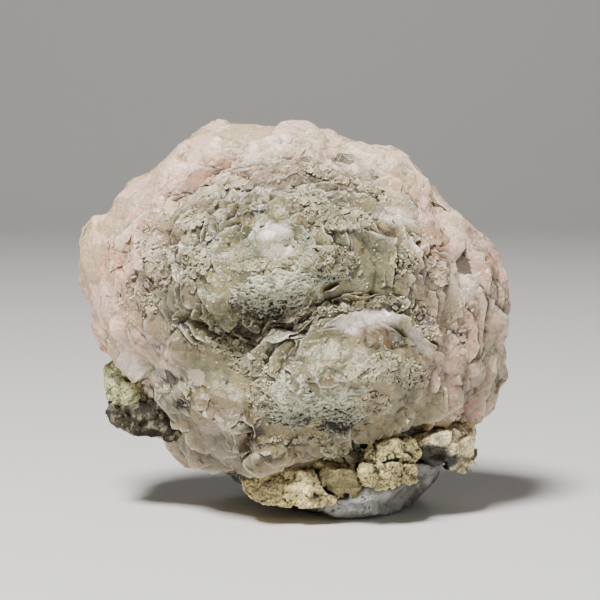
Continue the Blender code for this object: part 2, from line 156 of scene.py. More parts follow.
# An arc of plates: its middle and half size in pixels, its first and last angle, how many
# plates, their half breadth, half length and lift in millimetres
Arc = namedtuple("Arc", "px py half_width half_height first last count breadth length lift")
RING_ARCS = rows_of(
    Arc,
    (290, 300, 148, 133, -6, 200, 30, 4.6, 3.4, 0.9), (290, 300, 136, 122, -10, 204, 30, 4.4, 3.2, 1.1),
    (290, 298, 122, 108, -12, 210, 28, 4.2, 3.0, 1.2), (290, 294, 106, 92, -10, 214, 24, 4.0, 3.0, 1.2),
    (288, 286, 92, 74, 4, 220, 20, 3.8, 2.8, 1.2),
)
MOUND_ARCS = rows_of(
    Arc,
    (266, 264, 74, 52, -10, 236, 18, 4.2, 3.2, 1.3), (266, 262, 56, 38, 0, 200, 13, 4.2, 3.4, 1.1),
    (268, 256, 36, 24, 10, 190, 8, 4.4, 3.6, 0.9), (262, 282, 62, 50, 210, 325, 12, 3.4, 2.6, 1.5),
    (262, 276, 50, 40, 215, 320, 9, 3.0, 2.4, 1.4), (355, 390, 92, 84, -50, 176, 24, 4.8, 3.4, 1.2),
    (355, 388, 76, 70, -56, 180, 20, 4.6, 3.4, 1.1), (352, 384, 58, 54, -60, 184, 15, 4.4, 3.4, 1.0),
    (345, 372, 42, 36, 20, 200, 9, 4.2, 3.2, 0.9), (325, 350, 36, 20, 170, 330, 8, 3.8, 2.8, 1.1),
)
SKIRT_ARCS = rows_of(
    Arc,
    (225, 385, 76, 74, 172, 286, 13, 5.2, 4.2, 1.3), (232, 380, 60, 60, 176, 290, 10, 4.8, 4.0, 1.3),
    (240, 372, 42, 44, 180, 296, 8, 4.4, 3.6, 1.3), (300, 395, 66, 72, 205, 318, 13, 4.4, 3.6, 1.5),
    (300, 392, 52, 56, 205, 320, 10, 4.0, 3.2, 1.5), (372, 400, 52, 48, 225, 338, 10, 4.0, 3.2, 1.5),
    (366, 396, 40, 36, 225, 330, 7, 3.6, 2.8, 1.4), (398, 330, 104, 120, -48, 40, 16, 6.4, 4.2, 0.9),
    (396, 330, 88, 106, -50, 36, 15, 6.2, 4.0, 1.0), (392, 335, 72, 90, -48, 34, 13, 5.8, 3.8, 1.1),
)
FILM_ARCS = rows_of(
    Arc,
    (298, 312, 180, 163, -12, 200, 24, 5.6, 3.6, 0.3),
    (298, 312, 172, 156, -10, 200, 26, 5.0, 3.4, 0.55),
    (298, 312, 156, 142, -10, 200, 24, 4.6, 3.0, 0.6),
)

# A belt of plates round the sides and back: how far behind the widest line as a share of a
# right angle, its first and last angle, how many plates, their sizes in millimetres
Belt = namedtuple("Belt", "behind first last count breadth length lift")
BELTS = rows_of(
    Belt,
    (-0.12, -40, 215, 24, 4.8, 3.0, 0.12), (0.06, -38, 212, 26, 5.0, 3.2, 0.2),
    (0.24, -34, 210, 26, 5.0, 3.6, 0.6), (0.42, -20, 200, 26, 5.0, 4.0, 1.0),
    (0.58, 10, 170, 18, 5.0, 4.2, 1.1), (0.74, 20, 160, 10, 5.0, 4.4, 1.1),
)

# A plate standing by itself: its pixel, the way its free edge faces in degrees, and its sizes
Sheet = namedtuple("Sheet", "px py facing breadth length lift")
SHEETS = rows_of(
    Sheet,
    (398, 216, 82, 6.4, 3.8, 1.7), (380, 219, 110, 2.6, 2.4, 1.6), (132, 364, -72, 4.8, 3.6, 1.6),
    (185, 204, 100, 4.6, 2.4, 1.5), (322, 196, 100, 5.2, 3.4, 1.3), (362, 190, 70, 5.0, 3.0, 1.4),
    (150, 245, 170, 3.2, 1.8, 1.6), (444, 404, 10, 3.4, 2.2, 1.1), (482, 303, 20, 1.4, 1.0, 1.6),
    (332, 290, 120, 2.6, 1.6, 1.5), (432, 362, 60, 2.6, 2.8, 1.6), (232, 452, -120, 6.0, 4.6, 1.4),
    (272, 446, -85, 5.4, 4.2, 1.5), (318, 440, -80, 5.0, 4.0, 1.6), (383, 430, -70, 4.2, 3.4, 1.7),
    (228, 318, -100, 3.0, 2.2, 1.7), (250, 326, -95, 3.6, 2.2, 1.8), (274, 320, -80, 3.6, 2.2, 1.8),
)


def linear(code):
    """An sRGB hex colour as linear red, green and blue."""
    channels = [int(code[place : place + 2], 16) / 255 for place in (0, 2, 4)]
    return [c / 12.92 if c <= 0.04045 else ((c + 0.055) / 1.055) ** 2.4 for c in channels]


def colour(name, code, description):
    """A colour that a user can change."""
    return FloatVectorProperty(
        name=name, description=description, subtype="COLOR", size=3, min=0, max=1, default=linear(code)
    )


def length(name, millimetres, description):
    """A length that a user can change."""
    return FloatProperty(
        name=name, description=description, default=millimetres * MM, min=0.0, precision=5, unit="LENGTH"
    )


class CalciteSettings(bpy.types.PropertyGroup):
    """Sizes and colours of the calcite."""

    grid: length("Surface grid", 0.55, "Size of the faces of the calcite's surface")
    softening: IntProperty(
        name="Softening", description="How often the packed shape is smoothed", default=18, min=0
    )
    shell_radius: length("Shell radius", 9.5, "Radius of the low shells of the rim")
    shell_step: length("Shell step", 0.85, "How far a shell stands over the next")
    plate_thickness: length("Plate thickness", 0.32, "Thickness of a thin crystal plate")
    grain: length("Grain", 0.62, "Length of a small grain")
    flake: length("Flake", 0.85, "Half length of a small flake")
    ripple: length("Ripple", 0.58, "Distance between the ripples of the powder")
    pink: colour("Pink", "FBD3BC", "The rim's pale pink")
    peach: colour("Peach", "E6C49E", "The rim's warmer places")
    film: colour("Film", "CDB892", "The thin beige film on the rim")
    grey: colour("Grey", "7F7D5E", "The plates' greenish grey")
    beige: colour("Beige", "A2946A", "The plates' grey-beige")
    # Partly a painted highlight: the lit tops of the crests are painted in this pale colour
    lilac: colour("Lilac", "EFDDCF", "The crests' lilac white")
    salmon: colour("Salmon", "E4A187", "The rim's salmon patches")
    tan: colour("Tan", "8E7454", "The tan and rust patches")
    edge: colour("Edge", "EFE4C4", "The pale edge of a plate")
    grains: colour("Grains", "EFE3B4", "The small cream grains")
    powder: colour("Powder", "D2D1B6", "The pale grey-green powder")
    # Painted shade as well as brown dust: this colour darkens the calcite's creases and hollows
    dust_and_shade: colour("Dirt", "3E3422", "The brown dust in creases and hollows")
    # Painted shade as well as dark dust: this colour paints the shade under the mounds and between the
    # powder's ripples, besides dark specks
    soot: colour("Soot", "16150F", "The dark mineral dust under the mounds")


class QuartzSettings(bpy.types.PropertyGroup):
    """Sizes and colours of the quartz."""

    grid: length("Surface grid", 0.6, "Size of the faces of the quartz's surface")
    body: colour("Body", "7A7771", "The grey milky quartz")
    cloud: colour("Cloud", "F0EFEC", "The white veils in it")
    speck: colour("Speck", "1C1A15", "The dark specks of rock in it")


class CrustSettings(bpy.types.PropertyGroup):
    """Sizes and colours of the crusted crystals and the rock."""

    grid: length("Surface grid", 0.24, "Size of the faces of the crusts")
    ochre: colour("Ochre", "E2CC92", "The front ledge's ochre crust")
    lime: colour("Lime", "C8C690", "The left crystal's yellow-green crust")
    cream: colour("Cream", "E2D497", "The lump's and the wedge's cream crust")
    olive: colour("Olive", "958A5E", "The olive-tan block")
    tan: colour("Tan", "F6E4B4", "The wedge's tan end")
    glass: colour("Glass", "2A2B1C", "The wedge's glassy grey-green inside")
    rock: colour("Rock", "2F2819", "The brown-green rock")
    fleck: colour("Fleck", "B5AB8C", "The pale flecks of the rock")


class StageSettings(bpy.types.PropertyGroup):
    """The floor and the lights."""

    floor: colour("Floor", "D8D6D1", "The pale floor")
    key: FloatProperty(name="Key", description="Power of the key light", default=18.5, unit="POWER")
    fill: FloatProperty(name="Fill", description="Power of the fill light", default=0.6, unit="POWER")


def add_node(tree, kind, values=None, output=0, **settings):
    """Adds a node with its settings and gives that output. A value that is an output is linked."""
    node = tree.nodes.new("ShaderNode" + kind)
    for key, value in settings.items():
        setattr(node, key, value)
    for key, value in (values or {}).items():
        socket = node.inputs[key]
        if isinstance(value, bpy.types.NodeSocket):
            tree.links.new(value, socket)
        else:
            socket.default_value = (*value, 1) if socket.type == "RGBA" else value
    return node.outputs[output] if node.outputs else None


def new_material(name):
    """An empty material and the function that adds a node to it."""
    material = bpy.data.materials.new(name)
    material.use_nodes = True
    material.node_tree.nodes.clear()
    return material, partial(add_node, material.node_tree)


def finish_material(add, values):
    """Adds the shader and the output."""
    add("OutputMaterial", {"Surface": add("BsdfPrincipled", values)})


def smooth_step(value, low, high):
    """0 below low, 1 above high and a smooth rise between them."""
    share = np.clip((value - low) / (high - low), 0.0, 1.0)
    return share * share * (3 - 2 * share)


def noise_at(points, size, octaves=1):
    """Smooth noise of about -1 to 1 at many points, with swells of that size."""
    if octaves == 1:
        return np.array([noise.noise(point) for point in (points / size).tolist()])
    return np.array([noise.fractal(point, 0.8, 2.1, octaves) for point in (points / size).tolist()])


def view_axes():
    """The view's right, up and back as unit vectors."""
    sine, cosine = math.sin(VIEW_ELEVATION), math.cos(VIEW_ELEVATION)
    return Vector((1, 0, 0)), Vector((0, sine, cosine)), Vector((0, -cosine, sine))


def camera_place():
    return VIEW_TARGET + view_axes()[2] * VIEW_DISTANCE


def picture_places(points):
    """The pixels at which points are seen."""
    right, up, back = (np.array(axis) for axis in view_axes())
    offset = points - np.array(camera_place())
    scale = VIEW_DISTANCE / (-(offset @ back)) * PICTURE / VIEW_WIDTH
    return PICTURE / 2 + (offset @ right) * scale, PICTURE / 2 - (offset @ up) * scale


def seen_at(surface, px, py):
    """The point and normal of the surface seen at a pixel, or None where it isn't seen."""
    right, up, back = view_axes()
    step = VIEW_WIDTH / PICTURE / VIEW_DISTANCE
    direction = -back + right * (px - PICTURE / 2) * step + up * (PICTURE / 2 - py) * step
    point, normal, _, _ = surface.ray_cast(camera_place(), direction.normalized())
    return point, normal


def area_share(areas, px, py, wobble, soft=0.0):
    """How strongly each place belongs to the areas. The wobble makes their borders ragged."""
    share = np.zeros(len(px))
    for area in areas:
        turn = math.radians(area.lean)
        dx, dy = px - area.px, area.py - py
        along = (dx * math.cos(turn) + dy * math.sin(turn)) / area.half_width
        across = (dy * math.cos(turn) - dx * math.sin(turn)) / area.half_height
        distance = np.hypot(along, across) + wobble
        inside = 1 - smooth_step(distance, 0.75 - soft, 1.2 + soft)
        share = np.maximum(share, area.strength * inside)
    return share


def read_points(mesh):
    """A mesh's points and normals as arrays."""
    points = np.empty(len(mesh.vertices) * 3)
    normals = np.empty(len(mesh.vertices) * 3)
    mesh.vertices.foreach_get("co", points)
    mesh.vertices.foreach_get("normal", normals)
    return points.reshape(-1, 3), normals.reshape(-1, 3)


def write_points(mesh, points):
    mesh.vertices.foreach_set("co", points.ravel())
    mesh.update()


def write_shares(mesh, shares):
    """Keeps a share for every point of the mesh under each name."""
    for name, values in shares.items():
        layer = mesh.attributes.get(name) or mesh.attributes.new(name, "FLOAT", "POINT")
        layer.data.foreach_set("value", np.ascontiguousarray(values, dtype=np.float32))


def edges_of(mesh):
    edges = np.empty(len(mesh.edges) * 2, dtype=np.int64)
    mesh.edges.foreach_get("vertices", edges)
    return edges.reshape(-1, 2)


def relaxed(points, edges, rounds):
    """The points, each moved towards the middle of its neighbours again and again."""
    count = len(points)
    first, second = edges.T
    links = np.bincount(edges.ravel(), minlength=count)
    for _ in range(rounds):
        middle = np.empty_like(points)
        for axis in range(3):
            total = np.bincount(first, points[second, axis], count)
            total += np.bincount(second, points[first, axis], count)
            middle[:, axis] = total / links
        points = points + 0.5 * (middle - points)
    return points


def new_piece(name, mesh):
    piece = bpy.data.objects.new(name, mesh)
    bpy.context.scene.collection.objects.link(piece)
    return piece


def built_piece(name, points, faces, shares):
    """A new piece from arrays of points and faces."""
    mesh = bpy.data.meshes.new(name)
    mesh.from_pydata(points, [], faces)
    mesh.update()
    write_shares(mesh, shares)
    return new_piece(name, mesh)


def gridded_copy(node, name, grid, rounds):
    """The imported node's shape on an even grid of faces, smoothed, with its points and normals."""
    piece = new_piece(name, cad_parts[node].data.copy())
    step = piece.modifiers.new("Grid", "REMESH")
    step.mode = "VOXEL"
    step.voxel_size = grid
    graph = bpy.context.evaluated_depsgraph_get()
    mesh = bpy.data.meshes.new_from_object(piece.evaluated_get(graph))
    piece.modifiers.clear()
    piece.data = mesh
    mesh.name = name
    points, _ = read_points(mesh)
    write_points(mesh, relaxed(points, edges_of(mesh), rounds))
    return piece, *read_points(mesh)


def settle_piece(piece, material, smooth=True):
    """Gives a finished piece its material and lets it ride with the specimen."""
    piece.data.materials.clear()
    piece.data.materials.append(material)
    piece.data.polygons.foreach_set("use_smooth", [smooth] * len(piece.data.polygons))
    points, _ = read_points(piece.data)
    low, high = (np.array(corner) for corner in CAD_BOX)
    write_points(piece.data, np.clip(points, low + BOX_MARGIN, high - BOX_MARGIN))
    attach(piece, "root")


def calcite_shares(points, normals):
    """How grey, lilac, salmon, tan and sooty the calcite is at each point; the lilac share is partly a
    painted highlight on the lit crests, and the soot share is partly painted shade under the mounds.
    """
    px, py = picture_places(points)
    toward = np.array(camera_place()) - points
    toward /= np.linalg.norm(toward, axis=1)[:, None]
    seen = smooth_step((toward * normals).sum(axis=1), -0.35, 0.15)
    wobble = 0.16 * noise_at(points, 3.2 * MM, 3)
    shares = {
        "grey": area_share(GREY_AREAS, px, py, wobble * 0.5) * seen,
        "lilac": area_share(LILAC_AND_HIGHLIGHT_AREAS, px, py, wobble) * seen,
        "salmon": 0.75 * area_share(SALMON_AREAS, px, py, wobble * 1.4, soft=0.4) * seen,
        "tan": area_share(TAN_AREAS, px, py, wobble) * seen,
        "soot": area_share(SOOT_AND_SHADE_AREAS, px, py, wobble * 3.0, soft=0.4) * seen,
    }
    return shares


def ragged_outline(chance, sectors, rough):
    """How far an irregular outline reaches at each of its evenly spread angles, about 1."""
    turns = np.arange(sectors) * math.tau / sectors
    reach = np.ones(sectors)
    for waves in range(2, sectors // 2):
        swing = np.cos(waves * turns + chance.uniform(0, math.tau))
        reach += 1.5 * rough * chance.uniform(0.4, 1.0) * swing / waves
    return turns, np.clip(reach, 0.45, 1.6)


# Rings of a plate from its middle to its rim, and how much of the pale edge each shows
PLATE_RINGS = ((0.36, 0.0), (0.66, 0.0), (0.86, 0.12), (0.95, 0.62), (1.0, 1.0))
PLATE_SECTORS = 30
PLATE_SINK = 0.45 * MM


def plate_faces():
    """The faces of one plate: its middle first, then its rings, its lower rim and its underside."""
    faces = []
    rings = len(PLATE_RINGS)
    for side in range(PLATE_SECTORS):
        after = (side + 1) % PLATE_SECTORS
        faces.append((0, 1 + side, 1 + after))
        for ring in range(rings):
            inner, outer = 1 + ring * PLATE_SECTORS, 1 + (ring + 1) * PLATE_SECTORS
            faces.append((inner + side, outer + side, outer + after))
            faces.append((inner + side, outer + after, inner + after))
        lower = 1 + rings * PLATE_SECTORS
        faces.append((lower + side, lower + PLATE_SECTORS, lower + after))
    return np.array(faces)


def plate_points(surface, centre, normal, outward, sizes, thickness, chance, rough):
    """A thin curved plate that lies on the surface, with the edge on its outward side free."""
    breadth, length_out, lift = (size * MM for size in sizes)
    tangent = (outward - normal * outward.dot(normal)).normalized()
    sideways = normal.cross(tangent)
    turns, reach = ragged_outline(chance, PLATE_SECTORS, rough)
    waves, phase = chance.choice((2, 3, 4, 5)), chance.uniform(0, math.tau)
    points, edge = [], []

    def place(share, turn, far, drop):
        out, side = share * far * math.cos(turn), share * far * math.sin(turn)
        start = centre + tangent * out * length_out + sideways * side * breadth
        foot, facing, _, _ = surface.find_nearest(start)
        rise = max((1 + out) / 2, 0.0) ** 1.7 * (lift + PLATE_SINK) - PLATE_SINK
        rise -= 0.30 * lift * side * side
        rise += 0.12 * lift * share * math.sin(waves * turn + phase)
        points.append(foot + facing * (rise - drop))

    place(0.0, 0.0, 1.0, 0.0)
    edge.append(0.0)
    for share, pale in PLATE_RINGS:
        for turn, far in zip(turns, reach):
            place(share, turn, far, 0.35 * thickness if share == 1.0 else 0.0)
            edge.append(pale * (0.55 + 0.45 * math.cos(turn)))
    for turn, far in zip(turns, reach):
        place(0.985, turn, far, thickness)
        edge.append(0.5)
    place(0.0, 0.0, 1.0, thickness + PLATE_SINK)
    edge.append(0.0)
    return points, edge


def plates_piece(name, seats, surface, thickness, chance, rough):
    """One piece of many plates, each on its seat."""
    points, edges, tints, faces = [], [], [], []
    pattern = plate_faces()
    for centre, normal, outward, sizes in seats:
        made, edge = plate_points(surface, centre, normal, outward, sizes, thickness, chance, rough)
        faces.append(pattern + len(points))
        points += made
        edges += edge
        tints += [chance.random()] * len(made)
    piece = built_piece(name, points, np.concatenate(faces), {"edge": edges, "tint": tints})
    placed, normals = read_points(piece.data)
    wrinkles = 0.08 * MM * noise_at(placed, 1.7 * MM, 2)
    write_points(piece.data, placed + normals * wrinkles[:, None])
    placed, normals = read_points(piece.data)
    write_shares(piece.data, calcite_shares(placed, normals))
    return piece


# A crest more lilac than this is smooth and carries no plates
BARE_CREST = 0.5
# Nor does a place that faces the camera less than this, where a plate would stand edge-on
LEAST_FACING = 0.25


def is_bare(px, py):
    return area_share(LILAC_AND_HIGHLIGHT_AREAS, np.array([px]), np.array([py]), 0.0)[0] > BARE_CREST


def arc_seats(surface, arcs, chance):
    """Where the plates of the arcs sit, as seen at their pixels."""
    seats = []
    for arc in arcs:
        for index in range(arc.count):
            share = (index + chance.uniform(0.15, 0.85)) / arc.count
            turn = math.radians(arc.first + (arc.last - arc.first) * share)
            reach = chance.uniform(0.95, 1.05)
            px = arc.px + arc.half_width * reach * math.cos(turn)
            py = arc.py - arc.half_height * reach * math.sin(turn)
            facing = turn + chance.uniform(-0.35, 0.35)
            seat = pixel_seat(surface, px, py, facing)
            if seat and not is_bare(px, py) and seat[1].dot(view_axes()[2]) > LEAST_FACING:
                size = chance.uniform(0.55, 1.3)
                long = chance.uniform(0.9, 1.7)
                sizes = (arc.breadth * size * long, arc.length * size, arc.lift * chance.uniform(0.7, 1.8))
                seats.append((*seat, sizes))
    return seats


def pixel_seat(surface, px, py, facing):
    """The point and normal seen at a pixel, and the way outward, or None beside the surface."""
    centre, normal = seen_at(surface, px, py)
    if centre is None:
        return None
    right, up, _ = view_axes()
    return centre, normal, right * math.cos(facing) + up * math.sin(facing)


def belt_seats(surface, belts, chance):
    """Where the plates of the belts sit on the sides and the back."""
    seats = []
    for belt in belts:
        for index in range(belt.count):
            share = (index + chance.uniform(0.15, 0.85)) / belt.count
            turn = math.radians(belt.first + (belt.last - belt.first) * share)
            tilt = math.radians(90 * (belt.behind + chance.uniform(-0.07, 0.07)))
            across = math.cos(tilt)
            direction = Vector((across * math.cos(turn), math.sin(tilt), across * math.sin(turn)))
            start = DOME_CENTRE + direction * 100 * MM
            centre, normal, _, _ = surface.ray_cast(start, -direction)
            outward = Vector((math.cos(turn), -0.25, math.sin(turn)))
            size = chance.uniform(0.7, 1.25)
            sizes = (belt.breadth * size, belt.length * size, belt.lift * chance.uniform(0.6, 1.3))
            seats.append((centre, normal, outward, sizes))
    return seats


def surface_of(names):
    """The surface of finished pieces together, for rays and nearest points."""
    points, faces = [], []
    for name in names:
        mesh = bpy.data.objects[name].data
        start = len(points)
        points += [tuple(vert.co) for vert in mesh.vertices]
        faces += [tuple(start + corner for corner in face.vertices) for face in mesh.polygons]
    return BVHTree.FromPolygons(points, faces)


# Directions round a surface's normal in which it is tried how open a place is
OPEN_TILT = math.radians(52)
OPEN_TURNS = 5
OPEN_REACH = 2.4 * MM
OPEN_NEAREST = 0.12 * MM


def write_hollows(names, reach=OPEN_REACH):
    """Keeps how hidden each point is between its neighbours, where dust and shade gather."""
    surface = surface_of(names)
    sine, cosine = math.sin(OPEN_TILT), math.cos(OPEN_TILT)
    tries = [Vector((0, 0, 1))]
    for index in range(OPEN_TURNS):
        turn = index * math.tau / OPEN_TURNS
        tries.append(Vector((sine * math.cos(turn), sine * math.sin(turn), cosine)))
    for name in names:
        mesh = bpy.data.objects[name].data
        hidden = np.zeros(len(mesh.vertices))
        for index, vert in enumerate(mesh.vertices):
            facing = vert.normal.to_track_quat("Z", "Y")
            start = vert.co + vert.normal * 0.08 * MM
            for direction in tries:
                distance = surface.ray_cast(start, facing @ direction, reach)[3]
                # A hit this near is only the skin that the point is sunk into
                if distance is not None and distance > OPEN_NEAREST:
                    hidden[index] += 1 - 0.6 * distance / reach
        hidden /= len(tries)
        spread = relaxed(np.repeat(hidden[:, None], 3, axis=1), edges_of(mesh), 2)[:, 0]
        write_shares(mesh, {"hollow": spread})


# The last argument sets how much brown dust and painted shade the creases and hollows get
def calcite_material(name, settings, through, rough, dust):
    """Calcite grown in thin layers: satin, a little see-through, so light softens inside it, with
    colour that drifts from pink to grey-green and paler edges where a plate ends."""
    material, add = new_material(name)
    place = add("TexCoord", output="Object")
    shares = {
        key: add("Attribute", attribute_name=key, output="Fac")
        for key in ("grey", "lilac", "salmon", "tan", "soot", "edge", "tint", "hollow")
    }
    drift = add("TexNoise", {"Vector": place, "Scale": 1 / (9 * MM), "Detail": 3.0})
    cloudy = add("TexNoise", {"Vector": place, "Scale": 1 / (3.4 * MM), "Detail": 5.0})
    fine = add("TexNoise", {"Vector": place, "Scale": 1 / (0.7 * MM), "Detail": 5.0})
    # Creases where one film ends over the next, 8 mm apart and bent by a 3 mm noise, bumped in and painted
    # dark as painted shade
    bend = add("TexNoise", {"Vector": place, "Scale": 1 / (3 * MM), "Detail": 3.0}, output="Color")
    bend = add("VectorMath", {0: bend, "Scale": 5 * MM}, operation="SCALE")
    bent = add("VectorMath", {0: place, 1: bend}, operation="ADD")
    border = add("TexVoronoi", {"Vector": bent, "Scale": 1 / (8 * MM)}, feature="DISTANCE_TO_EDGE")
    crease = add("MapRange", {"Value": border, "From Max": 0.05, "To Min": 0.5, "To Max": 0.0})
    broken = add("MapRange", {"Value": cloudy, "From Min": 0.43, "From Max": 0.57})
    crease = add("Math", {0: crease, 1: broken}, operation="MULTIPLY")
    warm = add("MapRange", {"Value": drift, "From Min": 0.4, "From Max": 0.62})
    patch = add("Math", {0: cloudy, 1: 0.55, 2: drift}, operation="MULTIPLY_ADD")
    filmed = add("MapRange", {"Value": patch, "From Min": 0.76, "From Max": 0.86, "To Max": 0.65})
    # Dust on a film: none outside it, a third on it and a little more where it ends
    ending = add("Math", {0: 1.0, 1: filmed}, operation="SUBTRACT")
    ending = add("Math", {0: ending, 1: filmed}, operation="MULTIPLY")
    ending = add("Math", {0: ending, 1: 1.5}, operation="MULTIPLY")
    greenish = add("MapRange", {"Value": shares["tint"], "From Min": 0.2, "From Max": 0.8})
    rim = add("Mix", {0: warm, 6: settings.pink, 7: settings.peach}, 2, data_type="RGBA")
    rim = add("Mix", {0: filmed, 6: rim, 7: settings.film}, 2, data_type="RGBA")
    rim = add("Mix", {0: shares["salmon"], 6: rim, 7: settings.salmon}, 2, data_type="RGBA")
    ring = add("Mix", {0: greenish, 6: settings.grey, 7: settings.beige}, 2, data_type="RGBA")
    base = add("Mix", {0: shares["grey"], 6: rim, 7: ring}, 2, data_type="RGBA")
    for key in ("lilac", "tan", "edge"):
        base = add("Mix", {0: shares[key], 6: base, 7: getattr(settings, key)}, 2, data_type="RGBA")
    mottle = add(
        "MapRange", {"Value": fine, "From Min": 0.34, "From Max": 0.64, "To Min": 0.80, "To Max": 1.14}
    )
    swell = add(
        "MapRange", {"Value": drift, "From Min": 0.38, "From Max": 0.62, "To Min": 0.76, "To Max": 1.14}
    )
    mottle = add("Math", {0: mottle, 1: swell}, operation="MULTIPLY")
    base = add("VectorMath", {0: base, "Scale": mottle}, operation="SCALE")
    # Brown dust and painted shade in the creases and hollows, then the dark dust and the painted shade
    # under the mounds, broken up by the fine noise
    deep = add("MapRange", {"Value": shares["hollow"], "From Min": 0.10, "From Max": 0.38})
    for line in (crease, ending):
        deep = add("Math", {0: deep, 1: line}, operation="MAXIMUM")
    # The pale crests get little of the brown dust and painted shade
    dusted_and_shaded = add("MapRange", {"Value": shares["lilac"], "To Min": dust, "To Max": dust * 0.3})
    deep = add("Math", {0: deep, 1: dusted_and_shaded}, operation="MULTIPLY")
    base = add("Mix", {0: deep, 6: base, 7: settings.dust_and_shade}, 2, data_type="RGBA")
    specks = add("Math", {0: fine, 1: 2.4, 2: shares["soot"]}, operation="MULTIPLY_ADD")
    dark_dust_and_shade = add("MapRange", {"Value": specks, "From Min": 1.52, "From Max": 2.05, "To Max": 0.97})
    base = add("Mix", {0: dark_dust_and_shade, 6: base, 7: settings.soot}, 2, data_type="RGBA")
    gloss = add(
        "MapRange",
        {"Value": cloudy, "From Min": 0.3, "From Max": 0.7, "To Min": rough, "To Max": rough + 0.22},
    )
    gloss = add("Math", {0: gloss, 1: dark_dust_and_shade}, operation="MAXIMUM")
    # The grey plates are wrinkled, the rim's shells less so, and the lilac crests are smooth
    wrinkled = add("MapRange", {"Value": shares["grey"], "To Min": 0.40, "To Max": 0.55})
    smooth = add("MapRange", {"Value": shares["lilac"], "To Min": 1.0, "To Max": 0.2})
    wrinkled = add("Math", {0: wrinkled, 1: smooth}, operation="MULTIPLY")
    relief = add("Bump", {"Height": fine, "Strength": wrinkled, "Distance": 0.35 * MM})
    relief = add("Bump", {"Height": cloudy, "Strength": smooth, "Distance": 0.8 * MM, "Normal": relief})
    relief = add(
        "Bump", {"Height": crease, "Strength": 0.6, "Distance": 0.3 * MM, "Normal": relief}, invert=True
    )
    relief = add("Bump", {"Height": filmed, "Strength": 0.5, "Distance": 0.6 * MM, "Normal": relief})
    finish_material(
        add,
        {
            "Base Color": base,
            "Roughness": gloss,
            "IOR": 1.6,
            "Transmission Weight": through,
            "Subsurface Weight": 0.12,
            "Subsurface Radius": (1.0, 0.72, 0.55),
            "Subsurface Scale": 0.9 * MM,
            "Normal": relief,
        },
    )
    return material


def grain_material(name, settings, tone):
    """Small broken grains: matte and chalky, each a little lighter or darker than the next."""
    material, add = new_material(name)
    tint = add("Attribute", attribute_name="tint", output="Fac")
    soot = add("Attribute", attribute_name="soot", output="Fac")
    shade = add("MapRange", {"Value": tint, "To Min": 0.36, "To Max": 1.18})
    base = add("VectorMath", {0: tone, "Scale": shade}, operation="SCALE")
    # Painted shade under the mounds, with dark dust, on the grains
    base = add("Mix", {0: soot, 6: base, 7: settings.soot}, 2, data_type="RGBA")
    finish_material(
        add,
        {"Base Color": base, "Roughness": 0.6, "Subsurface Weight": 0.1, "Subsurface Scale": 0.6 * MM},
    )
    return material


def powder_material(settings):
    """A crust of fine mineral powder: matte, pale grey-green, painted darker between its ripples as
    painted shade.
    """
    material, add = new_material("fine mineral powder, settled")
    place = add("TexCoord", output="Object")
    deep = add("Attribute", attribute_name="deep", output="Fac")
    soot = add("Attribute", attribute_name="soot", output="Fac")
    fine = add("TexNoise", {"Vector": place, "Scale": 1 / (0.3 * MM), "Detail": 3.0})
    shade = add(
        "MapRange", {"Value": fine, "From Min": 0.3, "From Max": 0.7, "To Min": 0.66, "To Max": 1.25}
    )
    base = add("VectorMath", {0: settings.powder, "Scale": shade}, operation="SCALE")
    # Black specks 1 mm apart
    speck = add("TexNoise", {"Vector": place, "Scale": 1 / (1 * MM), "Detail": 2.0})
    speck = add("MapRange", {"Value": speck, "From Min": 0.64, "From Max": 0.70, "To Max": 0.85})
    # Painted shade between the ripples and towards the lower edge, painted shade under the mounds with
    # dark dust, and black specks
    for share in (deep, soot, speck):
        base = add("Mix", {0: share, 6: base, 7: settings.soot}, 2, data_type="RGBA")
    relief = add("Bump", {"Height": fine, "Strength": 0.9, "Distance": 0.28 * MM})
    finish_material(add, {"Base Color": base, "Roughness": 0.85, "Normal": relief})
    return material


# The seeds of the random draws, and how many shells lie on the dome
SHELL_SEED, PLATE_SEED, GRAIN_SEED = 11, 5, 3
SHELLS = 250


